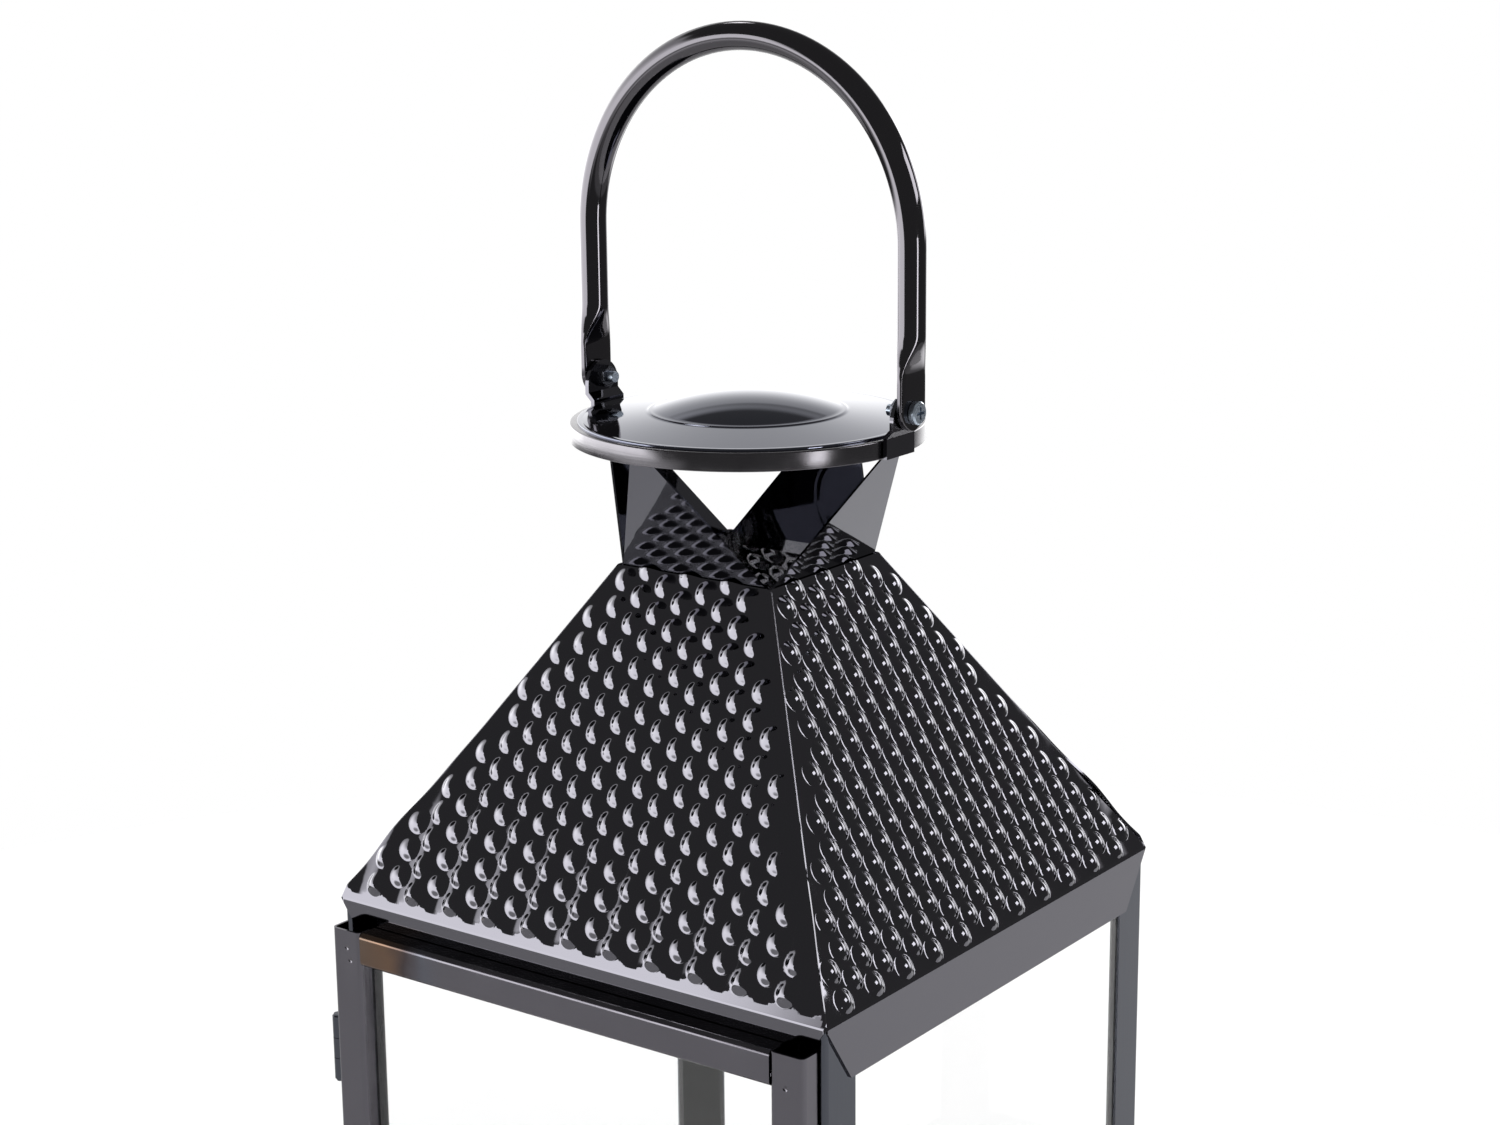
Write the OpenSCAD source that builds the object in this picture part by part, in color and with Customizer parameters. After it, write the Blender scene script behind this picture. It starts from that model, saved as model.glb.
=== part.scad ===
/* [Body] */
// Width and depth over the flaps of the roof and the tray
body_w = 210; // [190:1:240]
// Height of the fold where the roof starts
eaves_z = 255; // [230:1:320]
// Thickness of the sheet steel
sheet_t = 0.8; // [0.6:0.1:1]
// Inside radius of the folds
fold_r = 1.2; // [0.8:0.1:1.6]
// Height of the upright flaps on the roof and the tray
flap_h = 21; // [18:0.5:26]
// How far a flap's slanted end is set in at its free edge
mitre_run = 14.3; // [10:0.1:16]
// Height of the raised floor plate's top
floor_z = 14; // [10:0.5:17]
// Width of the seams between the sheets that meet at a corner
seam_gap = 0.2; // [0.1:0.05:0.4]

/* [Corner posts] */
// Leg of a corner post along the left and right sides
post_side_leg = 17; // [15:0.5:20]
// Leg of a corner post along the front and the back
post_face_leg = 13.5; // [13:0.5:15]

/* [Glass] */
// Thickness of the panes
glass_t = 2; // [1.6:0.1:2.4]
// Play round the edges of a pane
pane_play = 0.5; // [0.4:0.1:0.8]
// Distance from the roof fold down to the top of the fixed panes
pane_drop = 6; // [4:0.5:9]
// Thickness of the tabs that hold the panes
tab_t = 0.6; // [0.5:0.1:0.7]
// Inside radius of a tab's fold
tab_r = 0.6; // [0.4:0.1:0.8]
// Width of a tab
tab_w = 12; // [8:1:20]
// Length of a tab's leg
tab_leg = 7; // [5:0.5:9]

/* [Door] */
// How far the door stands in from the outer edge of the roof flaps at each side
door_side_inset = 3; // [2.5:0.1:5]
// Distance of the door's edges from the roof fold and from the foot
door_inset = 7.8; // [6:0.2:12]
// Width of the face of the door's side bars
stile_w = 13.3; // [12.5:0.1:15]
// Width of the face of the door's top and bottom bars
rail_w = 12.3; // [11:0.1:15]
// Depth of the door frame's outer flange
door_depth = 7.7; // [7.2:0.1:9]
// Depth of the door frame's inner flange, which the pane lies on
inner_flange = 5.6; // [5.2:0.1:5.6]
// Gap between the closed door and the flaps behind it
door_gap = 0.5; // [0.4:0.1:1]
// How far the pane reaches past the inner flange
glass_lap = 2.8; // [2:0.1:3]
// Length of the foot of a clip that holds the door pane
clip_foot = 4.5; // [3:0.5:5]
// Length of a clip's lip over the door pane
clip_lip = 3; // [2.5:0.5:4]

/* [Hinges] */
// Radius of a hinge's barrel
barrel_r = 2.2; // [2:0.1:2.4]
// Radius of a hinge pin
hinge_pin_r = 1.2; // [1:0.1:1.3]
// Length of a hinge
hinge_len = 24; // [18:1:30]
// Length of the hinge leaf on the corner post
leaf_w = 16; // [12:0.5:18]
// Running gap between the knuckles
knuckle_gap = 0.2; // [0.15:0.05:0.4]
// Radial clearance of the hinge pins and of the latch spindle
pin_clear = 0.06; // [0.03:0.01:0.09]

/* [Latch] */
// Radius of the latch knob
knob_r = 5; // [4:0.5:6]
// Length of the latch knob
knob_l = 9; // [7:0.5:12]
// Radius of the spindle through the door
spindle_r = 1.7; // [1.4:0.1:1.8]
// Length of the catch plate behind the corner post
catch_l = 11; // [9:0.5:11]
// Width of the catch plate
catch_w = 3.6; // [3:0.1:4]
// Thickness of the catch plate
catch_t = 1.2; // [0.8:0.1:1.4]
// Play of the catch plate in its slot, and behind the post
catch_play = 0.5; // [0.3:0.1:0.6]

/* [Roof] */
// Rise of the roof from its fold to the neck
roof_rise = 117.6; // [90:0.1:140]
// Width of the square neck at the top of the roof
neck_w = 66.6; // [56:0.2:76]

/* [Roof bosses] */
// Radius of a boss at its foot
boss_r = 4.5; // [3:0.1:4.5]
// Height of a boss over the sheet
boss_h = 2.1; // [1:0.1:2.4]
// Distance between the columns of bosses
boss_column = 8.8; // [8.6:0.1:14]
// Distance between the bosses of one column
boss_row = 10; // [9.4:0.1:16]
// Least distance from the middle of a boss to an edge of the sheet
boss_edge = 4.7; // [4.6:0.1:12]
// Distance up the slope to the lowest bosses on the front and the back
face_boss_start = 7.9; // [5:0.1:20]
// The same on the left and the right
side_boss_start = 5.3; // [5:0.1:20]
// How far the middle column stands to the left on the front and the back
face_boss_shift = 0.8; // [0:0.1:4.4]
// The same on the left and the right
side_boss_shift = 3; // [0:0.1:4.4]

/* [Neck and cap] */
// Height from the neck to the foot of the cap ring
neck_rise = 44; // [36:0.5:54]
// Length of a neck plate's flange inside the roof
neck_flange = 6; // [4:0.5:9]
// Width of a neck plate where it meets the ring
neck_tip_w = 10; // [6:0.5:12]
// Outer radius of the cap ring
ring_r = 62.4; // [56:0.2:66]
// Height of the cap ring
ring_h = 6.4; // [5.4:0.2:9]
// Thickness of the cap ring
ring_t = 1; // [0.8:0.1:1.4]
// Width of the ledge at the top of the ring
ledge_w = 6.4; // [5:0.2:8]
// How far the edge of the cap plate stands in from the outer edge of the ring
cap_inset = 2.6; // [2.2:0.1:4]
// Width of the cap plate's flat rim
cap_rim = 1.8; // [1:0.1:3]
// Rise of the cap plate from its rim to the dome
cap_rise = 2.5; // [1.5:0.1:4]
// Radius of the raised dome
dome_r = 34.6; // [26:0.2:40]
// Rise of the dome
dome_rise = 6; // [4:0.2:10]

/* [Ears] */
// Width of the ears that carry the handle
ear_w = 17; // [14:0.5:18]
// Thickness of an ear
ear_t = 1.5; // [1.2:0.1:1.8]
// Sideways step of an ear above the ring
ear_step = 2.5; // [2:0.1:3]
// Angle of the step
ear_step_angle = 45; // [35:1:55]
// Height of an ear above its bolt
ear_top = 5.9; // [5:0.1:8]

/* [Handle] */
// Height of the bolts above the cap ring
bolt_lift = 9; // [8.4:0.1:12]
// Height of the handle's top above the bolts
handle_rise = 128; // [116:1:140]
// Radius of the handle tube
tube_r = 5; // [4:0.25:5.5]
// Thickness of the handle's flattened ends
flat_t = 2.4; // [2:0.1:3]
// Width of the handle's flattened ends
flat_w = 15; // [13:0.5:16]
// Length of a flattened end below its bolt
flat_below = 6.2; // [5:0.1:7]
// Length of a flattened end above its bolt
flat_above = 11.5; // [9.5:0.5:14]
// Length over which the tube is flattened
flat_run = 15; // [12:0.5:20]
// Gap between an ear and the handle
handle_gap = 0.4; // [0.3:0.1:0.8]

/* [Bolts] */
// Radius of the bolt shank
bolt_r = 2; // [1.5:0.1:2.1]
// Radial clearance of the bolt in the ear and the handle
bolt_clear = 0.08; // [0.03:0.01:0.09]
// Radius of the bolt head
head_r = 4; // [3.6:0.1:4.6]
// Height of the bolt head
head_h = 2.4; // [2:0.1:3]
// Radius of the nut over its corners
nut_r = 4.04; // [3.8:0.02:4.6]
// Height of the nut
nut_h = 3.2; // [2.4:0.1:4]
// Length of thread that stands out of the nut
thread_out = 2.6; // [1.5:0.1:4]

/* [Hidden] */
$fn = 64;

// Colours of the finishes
nickel = "#3a3a42";
dark_nickel = "#2a2a30";
zinc = "#9aa6b4";
pane = "#cfe0e4";

// A cut runs this far past the faces that it goes through
overrun = 1;
half_w = body_w / 2;
fold_out = sheet_t + fold_r;

// Corner posts stand inside the flaps, and the panes inside the posts, clear of their folds
post_face = half_w - sheet_t;
pane_face = post_face - sheet_t;
pane_back = pane_face - glass_t;
pane_edge = pane_face - fold_r - pane_play;
pane_top = eaves_z - pane_drop;
tab_out = tab_t + tab_r;

// The fixed panes stand on the inside of the tray's folds, between the posts and the floor plate
pane_foot = fold_out - sqrt(pow(fold_r, 2) - pow(fold_r - sheet_t, 2));

// Lean of the roof and of the neck plates, measured from upright
roof_lean = atan((half_w - neck_w / 2) / roof_rise);
neck_z = eaves_z + roof_rise;
ring_z = neck_z + neck_rise;
ring_top = ring_z + ring_h;
bolt_z = ring_top + bolt_lift;

// Radius of a boss's flat crown, as a share of the radius at its foot
boss_crown_share = 0.5;

// Points of a neck plate's outer face, as [out, up]: it lies inside the roof sheet below its crease
sheet_in = [-cos(roof_lean), -sin(roof_lean)];
up_slope = [-sin(roof_lean), cos(roof_lean)];
neck_crease = [neck_w / 2, neck_z] + sheet_t * sheet_in;
tip_out = ring_r - ring_t - 2 * seam_gap;
tip_bend_z = ring_z + ring_t;
tip_top = ring_top - ring_t - seam_gap;

// The door hangs in front of the flaps
door_w = body_w - 2 * door_side_inset;
door_back = half_w + door_gap;
door_front = door_back + door_depth;
door_h = eaves_z - 2 * door_inset;
door_mid_z = eaves_z / 2;
door_glass_front = door_front - inner_flange;
door_glass_back = door_glass_front - glass_t;

// Hinge axis beside the left side bar, as [distance out from the middle, y]
hinge_axis = [door_w / 2 + sheet_t + knuckle_gap + barrel_r, -(door_front + door_back) / 2 + fold_r / 2];
hinge_share = 0.3;
knuckle_l = hinge_len / 3;

// Latch axis through the right side bar
latch_x = (door_w - stile_w) / 2;
catch_y = -(post_face - sheet_t - catch_play);

// The cap plate lies on the ledge, clear of the ears
cap_r = ring_r - cap_inset;

// Handle and its ears, as distances from the middle plane
ear_face = ring_r + ear_t;
ear_out = ear_face + ear_step;
flat_in = ear_out + handle_gap;
flat_mid = flat_in + flat_t / 2;
head_in = flat_in + flat_t + knuckle_gap;
arch_r = flat_mid;
arch_z = bolt_z + handle_rise - tube_r - arch_r;
flat_round_z = bolt_z - flat_below + flat_w / 2;
flat_end_z = bolt_z + flat_above;
ear_round_z = bolt_z + ear_top - ear_w / 2;

// Sheet folded as it is walked along: each entry of runs is a straight length and the turn after it
module folded(runs, width, t = sheet_t, r = fold_r, i = 0) {
    run = runs[i][0];
    turn = runs[i][1];
    cube([run, t, width]);
    if (i < len(runs) - 1) {
        centre_y = turn > 0 ? t + r : -r;
        start = turn > 0 ? -90 : 90;
        translate([run, centre_y, 0]) {
            rotate(turn > 0 ? start : start + turn)
                rotate_extrude(angle = abs(turn))
                    translate([r, 0])
                        square([t, width]);
            rotate(turn)
                translate([0, -centre_y, 0])
                    folded(runs, width, t, r, i + 1);
        }
    }
}

// Section of a sheet with sharp creases: the path is one face, and the sheet lies to its left
function unit(v) = v / norm(v);
function left_of(a, b) = unit([a[1] - b[1], b[0] - a[0]]);
function crease_offset(path, i) =
    let (
        last = len(path) - 1,
        before = left_of(path[max(i - 1, 0)], path[max(i, 1)]),
        after = left_of(path[min(i, last - 1)], path[min(i + 1, last)])
    )
    (before + after) / (1 + before * after);

module creased(path, width, t = sheet_t) {
    last = len(path) - 1;
    inner = [for (i = [last:-1:0]) path[i] + t * crease_offset(path, i)];
    linear_extrude(width)
        polygon(concat(path, inner));
}

// Turns a section drawn as [out, up] to the front, centred on the middle plane
module facing_front(width) {
    rotate([90, 0, -90])
        translate([0, 0, -width / 2])
            children();
}

// The quarter of the plan that belongs to the front, less the seams at its corners
module front_quarter(z0, height, gap = seam_gap) {
    reach = half_w + overrun;
    apex = gap / sqrt(2);
    translate([0, 0, z0])
        linear_extrude(height)
            polygon([[0, -apex], [-reach, -reach - apex], [reach, -reach - apex]]);
}

// A flat outline in the front view, cut through everything in front of the middle
module front_outline(points) {
    rotate([90, 0, 0])
        linear_extrude(half_w + overrun)
            polygon(points);
}

module base_tray() {
    color(nickel) {
        plate = half_w - fold_out;
        translate([-plate, -plate, 0])
            cube([2 * plate, 2 * plate, sheet_t]);
        for (side = [0:3])
            rotate(90 * side)
                tray_flap(plate);
    }
}

module tray_flap(plate) {
    lap = fold_out;
    intersection() {
        facing_front(body_w)
            translate([plate - lap, 0])
                folded([[lap, 90], [flap_h - fold_out, 0]], body_w);
        front_quarter(-overrun, flap_h + 2 * overrun, 0);
        front_outline([
            [-half_w, 0], [half_w, 0],
            [half_w - mitre_run, flap_h + overrun / 10], [mitre_run - half_w, flap_h + overrun / 10]
        ]);
    }
}

module floor_plate() {
    color(nickel) {
        edge = pane_back - pane_play;
        plate = edge - fold_out;
        translate([-plate, -plate, floor_z - sheet_t])
            cube([2 * plate, 2 * plate, sheet_t]);
        for (side = [0:3])
            rotate(90 * side)
                intersection() {
                    facing_front(body_w)
                        translate([edge, sheet_t])
                            rotate(90)
                                folded([[floor_z - sheet_t - fold_out, 90], [fold_out, 0]], body_w);
                    front_quarter(0, floor_z + overrun, 0);
                }
    }
}

// Front right post; the others are its mirror images
module post(slotted = false) {
    foot = fold_out;
    color(nickel)
        difference() {
            translate([post_face - post_face_leg, -post_face, foot])
                folded(
                    [[post_face_leg - fold_out, 90], [post_side_leg - fold_out, 0]],
                    eaves_z - sheet_t - foot
                );
            if (slotted)
                translate([latch_x, -post_face, door_mid_z])
                    cube([catch_w + 2 * catch_play, 2 * overrun + sheet_t, catch_l + 2 * catch_play], center = true);
        }
}

module post_front_left() { mirror([1, 0, 0]) post(); }
module post_front_right() { post(true); }
module post_back_left() { mirror([1, 0, 0]) mirror([0, 1, 0]) post(); }
module post_back_right() { mirror([0, 1, 0]) post(); }

module side_pane() {
    color(pane, 0.35)
        translate([pane_back, -pane_edge, pane_foot])
            cube([glass_t, pane_edge + pane_back - pane_play, pane_top - pane_foot]);
}

module glass_left() { mirror([1, 0, 0]) side_pane(); }
module glass_right() { side_pane(); }
module glass_back() {
    color(pane, 0.35)
        translate([-pane_edge, pane_back, pane_foot])
            cube([2 * pane_edge, glass_t, pane_top - pane_foot]);
}

// Two tabs on the left, back and right sides, each over the top edge of a pane
module glass_tabs() {
    leg = tab_leg - tab_out;
    crown = pane_top + pane_play / 2 + tab_out;
    span = post_face - pane_back + tab_t;
    color(nickel)
        for (side = [1:3], hand = [-1, 1])
            rotate(90 * side)
                translate([hand * body_w / 4, 0, 0])
                    facing_front(tab_w)
                        translate([post_face, crown - tab_leg])
                            rotate(90)
                                folded([[leg, 90], [span - 2 * tab_out, 90], [leg, 0]], tab_w, tab_t, tab_r);
}

module roof_panel(boss_start, boss_shift) {
    color(dark_nickel)
        union() {
            intersection() {
                facing_front(body_w)
                    creased([[half_w, eaves_z - flap_h], [half_w, eaves_z], [neck_w / 2, neck_z]], body_w);
                front_quarter(eaves_z - flap_h - overrun, flap_h + roof_rise + 2 * overrun);
                front_outline([
                    [mitre_run - half_w, eaves_z - flap_h], [half_w - mitre_run, eaves_z - flap_h],
                    [half_w, eaves_z], [half_w, neck_z + overrun],
                    [-half_w, neck_z + overrun], [-half_w, eaves_z]
                ]);
            }
            at_bosses(boss_start, boss_shift)
                boss();
        }
}

// Places a boss, drawn with +Z out of the sheet, in staggered columns on the slope
module at_bosses(start, shift) {
    slope = norm([half_w - neck_w / 2, roof_rise]);
    columns = floor(half_w / boss_column);
    rows = floor(slope / boss_row);
    for (i = [-columns:columns], j = [0:rows]) {
        across = i * boss_column - shift;
        along = start + (j + abs(i % 2) / 2) * boss_row;
        out = half_w - along * sin(roof_lean);
        to_seam = (out - abs(across)) / norm([1, sin(roof_lean)]);
        if (min(slope - along, to_seam) > boss_edge)
            translate([across, -out, eaves_z + along * cos(roof_lean)])
                rotate([90 - roof_lean, 0, 0])
                    children();
    }
}

// Boss with eight flat sides, rooted in the thickness of the sheet
module boss() {
    root = sheet_t / 2;
    crown_r = boss_crown_share * boss_r;
    spread = (boss_r - crown_r) / boss_h;
    translate([0, 0, -root])
        cylinder(h = boss_h + root, r1 = boss_r + root * spread, r2 = crown_r, $fn = 8);
}

module roof_panel_front() { roof_panel(face_boss_start, face_boss_shift); }
module roof_panel_right() { rotate(90) roof_panel(side_boss_start, side_boss_shift); }
module roof_panel_back() { rotate(180) roof_panel(face_boss_start, face_boss_shift); }
module roof_panel_left() { rotate(270) roof_panel(side_boss_start, side_boss_shift); }

module neck_plate() {
    half_tip = neck_tip_w / 2;
    half_foot = neck_crease[0] - 2 * sheet_t;
    foot = neck_crease - neck_flange * up_slope;
    color(nickel)
        intersection() {
            facing_front(neck_w)
                creased([foot, neck_crease, [tip_out, tip_bend_z], [tip_out, tip_top]], neck_w);
            front_outline([
                [-half_foot, foot[1] - overrun], [half_foot, foot[1] - overrun],
                [half_foot, neck_crease[1]], [half_tip, ring_z], [half_tip, tip_top + overrun],
                [-half_tip, tip_top + overrun], [-half_tip, ring_z], [-half_foot, neck_crease[1]]
            ]);
        }
}

module neck_plate_front() { neck_plate(); }
module neck_plate_right() { rotate(90) neck_plate(); }
module neck_plate_back() { rotate(180) neck_plate(); }
module neck_plate_left() { rotate(270) neck_plate(); }

module cap_ring() {
    wall = ring_r - ring_t;
    ledge = ring_r - ledge_w;
    color(nickel)
        translate([0, 0, ring_z])
            rotate_extrude($fn = 180)
                polygon([
                    [wall, 0], [ring_r, 0], [ring_r, ring_h], [ledge, ring_h],
                    [ledge, ring_h - ring_t], [wall, ring_h - ring_t]
                ]);
}

module cap_plate() {
    ball_r = (dome_r * dome_r + dome_rise * dome_rise) / (2 * dome_rise);
    shoulder = cap_r - cap_rim;
    top = sheet_t + cap_rise;
    inside = dome_r - sheet_t / 2;
    color(dark_nickel)
        translate([0, 0, ring_top]) {
            rotate_extrude($fn = 180)
                polygon([
                    [shoulder, 0], [cap_r, 0], [cap_r, sheet_t], [shoulder, sheet_t],
                    [dome_r, top], [inside, top], [inside, cap_rise], [dome_r, cap_rise]
                ]);
            intersection() {
                translate([0, 0, top + dome_rise - ball_r])
                    difference() {
                        sphere(ball_r, $fn = 180);
                        sphere(ball_r - sheet_t, $fn = 180);
                    }
                cylinder(h = top + dome_rise + overrun, r = dome_r, $fn = 180);
            }
        }
}

// Right ear, spot welded to the outside of the ring and stepped outwards above it
module ear() {
    step_z = ring_top + ear_t / 2;
    step_top = step_z + ear_step / tan(ear_step_angle);
    top = bolt_z + ear_top;
    color(nickel)
        difference() {
            intersection() {
                translate([0, ear_w / 2, 0])
                    rotate([90, 0, 0])
                        creased([[ear_face, ring_z], [ear_face, step_z], [ear_out, step_top], [ear_out, top]], ear_w, ear_t);
                rotate([90, 0, 90])
                    linear_extrude(ear_out + overrun)
                        union() {
                            translate([-ear_w / 2, ring_z])
                                square([ear_w, ear_round_z - ring_z]);
                            translate([0, ear_round_z])
                                circle(ear_w / 2);
                        }
            }
            bolt_bore();
        }
}

// Clearance hole along the bolt axis, on the right
module bolt_bore() {
    translate([0, 0, bolt_z])
        rotate([0, 90, 0])
            cylinder(h = head_in + head_h, r = bolt_r + bolt_clear);
}

module ear_left() { mirror([1, 0, 0]) ear(); }
module ear_right() { ear(); }

module bolt() {
    nut_in = ear_out - ear_t - nut_h;
    tip = nut_in - thread_out;
    recess_w = head_r / 4;
    recess_l = 1.1 * head_r;
    recess_d = 0.6 * head_h;
    edge = head_h / 4;
    color(zinc)
        translate([0, 0, bolt_z])
            rotate([0, 90, 0]) {
                translate([0, 0, tip])
                    cylinder(h = head_in - tip, r = bolt_r);
                translate([0, 0, head_in])
                    difference() {
                        rotate_extrude()
                            polygon([[0, 0], [head_r, 0], [head_r, head_h - edge], [head_r - edge, head_h], [0, head_h]]);
                        for (turn = [0, 90])
                            rotate(turn)
                                translate([-recess_l / 2, -recess_w / 2, head_h - recess_d])
                                    cube([recess_l, recess_w, recess_d + overrun]);
                    }
            }
}

module bolt_left() { mirror([1, 0, 0]) bolt(); }
module bolt_right() { bolt(); }

module nut() {
    color(dark_nickel)
        translate([ear_out - ear_t - nut_h, 0, bolt_z])
            rotate([0, 90, 0])
                difference() {
                    cylinder(h = nut_h, r = nut_r, $fn = 6);
                    translate([0, 0, -overrun])
                        cylinder(h = nut_h + 2 * overrun, r = bolt_r + bolt_clear / 2);
                }
}

module nut_left() { mirror([1, 0, 0]) nut(); }
module nut_right() { nut(); }

// Places a hinge part, drawn for the right side, at both hinges on the left side
module at_hinges() {
    for (level = [-1, 1])
        mirror([1, 0, 0])
            translate([hinge_axis[0], hinge_axis[1], door_mid_z + level * hinge_share * door_h])
                children();
}

module knuckle(z0, length) {
    translate([0, 0, z0])
        cylinder(h = length, r = barrel_r);
}

module hinge_leaves_post() {
    color(nickel)
        at_hinges()
            difference() {
                union() {
                    for (hand = [-1, 1])
                        knuckle(hand > 0 ? knuckle_l / 2 : -hinge_len / 2, knuckle_l);
                    translate([post_face - hinge_axis[0], 0, -hinge_len / 2])
                        cube([sheet_t, leaf_w, hinge_len]);
                }
                translate([0, 0, -knuckle_l / 2])
                    cylinder(h = knuckle_l, r = barrel_r + knuckle_gap);
                cylinder(h = hinge_len + 2 * overrun, r = hinge_pin_r + pin_clear, center = true);
            }
}

module hinge_leaves_door() {
    length = knuckle_l - 2 * knuckle_gap;
    face = door_w / 2 - hinge_axis[0];
    foot_y = -door_front + fold_out - hinge_axis[1];
    back_y = -door_back - hinge_axis[1];
    color(nickel)
        at_hinges()
            difference() {
                union() {
                    knuckle(-length / 2, length);
                    translate([face, foot_y, -hinge_len / 2])
                        cube([sheet_t, back_y - foot_y, hinge_len]);
                    translate([face, -barrel_r / 2, -length / 2])
                        cube([-face, barrel_r, length]);
                }
                cylinder(h = hinge_len, r = hinge_pin_r + pin_clear, center = true);
            }
}

module hinge_pins() {
    head_t = sheet_t;
    head = (hinge_pin_r + barrel_r) / 2;
    color(dark_nickel)
        at_hinges() {
            cylinder(h = hinge_len, r = hinge_pin_r, center = true);
            for (hand = [-1, 1])
                translate([0, 0, hand * (hinge_len + head_t) / 2])
                    cylinder(h = head_t, r = head, center = true);
        }
}

// Channel of the door frame: outer flange at x = 0, face in front, inner flange at x = face
module door_channel(face, length) {
    rotate(-90)
        folded([
            [door_depth - fold_out, 90],
            [face - 2 * fold_out, 90],
            [inner_flange - fold_out, 0]
        ], length);
}

module door_stile() {
    color(nickel)
        translate([-door_w / 2, -door_back, door_inset])
            door_channel(stile_w, door_h);
}

module door_stile_left() { door_stile(); }
module door_stile_right() {
    difference() {
        mirror([1, 0, 0]) door_stile();
        latch_bore();
    }
}

module latch_bore() {
    translate([latch_x, -door_front + sheet_t / 2, door_mid_z])
        rotate([90, 0, 0])
            cylinder(h = sheet_t + 2 * overrun, r = spindle_r + pin_clear, center = true);
}

module door_rail_top() {
    length = door_w - 2 * stile_w;
    color(nickel)
        translate([-length / 2, -door_back, eaves_z - door_inset])
            rotate([0, 90, 0])
                door_channel(rail_w, length);
}

module door_rail_bottom() {
    translate([0, 0, eaves_z])
        mirror([0, 0, 1])
            door_rail_top();
}

module door_glass() {
    reach_x = door_w / 2 - stile_w + glass_lap;
    reach_z = door_h / 2 - rail_w + glass_lap;
    color(pane, 0.35)
        translate([-reach_x, -door_glass_front, door_mid_z - reach_z])
            cube([2 * reach_x, glass_t, 2 * reach_z]);
}

// Clip on the back of the left side bar's face: a foot, a web beside the pane and a lip behind it
module door_clip() {
    web = door_front - sheet_t - door_glass_back - tab_out - tab_r;
    web_x = -(door_w / 2 - stile_w + glass_lap + tab_r + pane_play / 2);
    translate([web_x - clip_foot, -door_front + sheet_t, -tab_w / 2])
        folded([[clip_foot - tab_out, 90], [web, -90], [clip_lip - tab_r, 0]], tab_w, tab_t, tab_r);
}

module door_glass_clips() {
    color(nickel)
        for (hand = [0, 1], level = [-1, 1])
            mirror([hand, 0, 0])
                translate([0, 0, door_mid_z + level * door_h / 4])
                    door_clip();
}

// Places a latch part with its origin on the axis at the door's face and +Z pointing out of the door
module at_latch() {
    translate([latch_x, -door_front, door_mid_z])
        rotate([90, 0, 0])
            children();
}

module latch_knob() {
    neck = 0.55 * knob_r;
    collar = 0.8 * knob_r;
    color(nickel)
        at_latch()
            translate([0, 0, pin_clear])
                rotate_extrude()
                    polygon([
                        [spindle_r, 0], [collar, 0], [collar, knob_l / 9], [neck, knob_l / 4],
                        [neck, knob_l / 2.5], [knob_r, 0.6 * knob_l], [knob_r, 0.86 * knob_l],
                        [0.72 * knob_r, knob_l], [0, knob_l], [0, 0.8 * knob_l], [spindle_r, 0.8 * knob_l]
                    ]);
}

module latch_spindle() {
    back = -door_front - catch_y;
    color(zinc)
        at_latch()
            translate([0, 0, back - catch_t])
                cylinder(h = 0.8 * knob_l + pin_clear - back + catch_t, r = spindle_r);
}

module latch_washer() {
    color(zinc)
        at_latch()
            translate([0, 0, -sheet_t - pin_clear - tab_t])
                difference() {
                    cylinder(h = tab_t, r = 2 * spindle_r);
                    translate([0, 0, -overrun])
                        cylinder(h = tab_t + 2 * overrun, r = spindle_r);
                }
}

module latch_catch() {
    back = -door_front - catch_y;
    color(zinc)
        at_latch()
            translate([0, 0, back - catch_t])
                difference() {
                    translate([-catch_w / 2, -catch_l / 2, 0])
                        cube([catch_w, catch_l, catch_t]);
                    translate([0, 0, -overrun])
                        cylinder(h = catch_t + 2 * overrun, r = spindle_r);
                }
}

// Right leg of the handle: a round tube that is flattened towards its bolt
module handle_leg() {
    slice = flat_t / 10;
    tube_foot = flat_end_z + flat_run;
    translate([arch_r, 0, tube_foot])
        cylinder(h = arch_z - tube_foot, r = tube_r);
    hull() {
        translate([arch_r, 0, tube_foot])
            cylinder(h = slice, r = tube_r, $fn = 32);
        translate([flat_mid, 0, flat_end_z])
            cube([flat_t, flat_w, slice], center = true);
    }
    intersection() {
        union() {
            translate([flat_in, -flat_w / 2, flat_round_z])
                cube([flat_t, flat_w, flat_end_z - flat_round_z]);
            translate([flat_in, 0, flat_round_z])
                rotate([0, 90, 0])
                    cylinder(h = flat_t, r = flat_w / 2);
        }
        translate([flat_in, -flat_w / 2, bolt_z - flat_below])
            cube([flat_t, flat_w, flat_below + flat_above]);
    }
}

module handle() {
    color(dark_nickel)
        difference() {
            union() {
                translate([0, 0, arch_z])
                    rotate([90, 0, 0])
                        rotate_extrude(angle = 180, $fn = 96)
                            translate([arch_r, 0])
                                circle(tube_r);
                handle_leg();
                mirror([1, 0, 0]) handle_leg();
            }
            bolt_bore();
            mirror([1, 0, 0]) bolt_bore();
        }
}

base_tray();
floor_plate();
post_front_left();
post_front_right();
post_back_left();
post_back_right();
glass_left();
glass_right();
glass_back();
glass_tabs();
roof_panel_front();
roof_panel_right();
roof_panel_back();
roof_panel_left();
neck_plate_front();
neck_plate_right();
neck_plate_back();
neck_plate_left();
cap_ring();
cap_plate();
ear_left();
ear_right();
bolt_left();
bolt_right();
nut_left();
nut_right();
hinge_leaves_post();
hinge_pins();
hinge_leaves_door();
door_stile_left();
door_stile_right();
door_rail_top();
door_rail_bottom();
door_glass();
door_glass_clips();
latch_knob();
latch_spindle();
latch_washer();
latch_catch();
handle();
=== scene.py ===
import math

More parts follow.
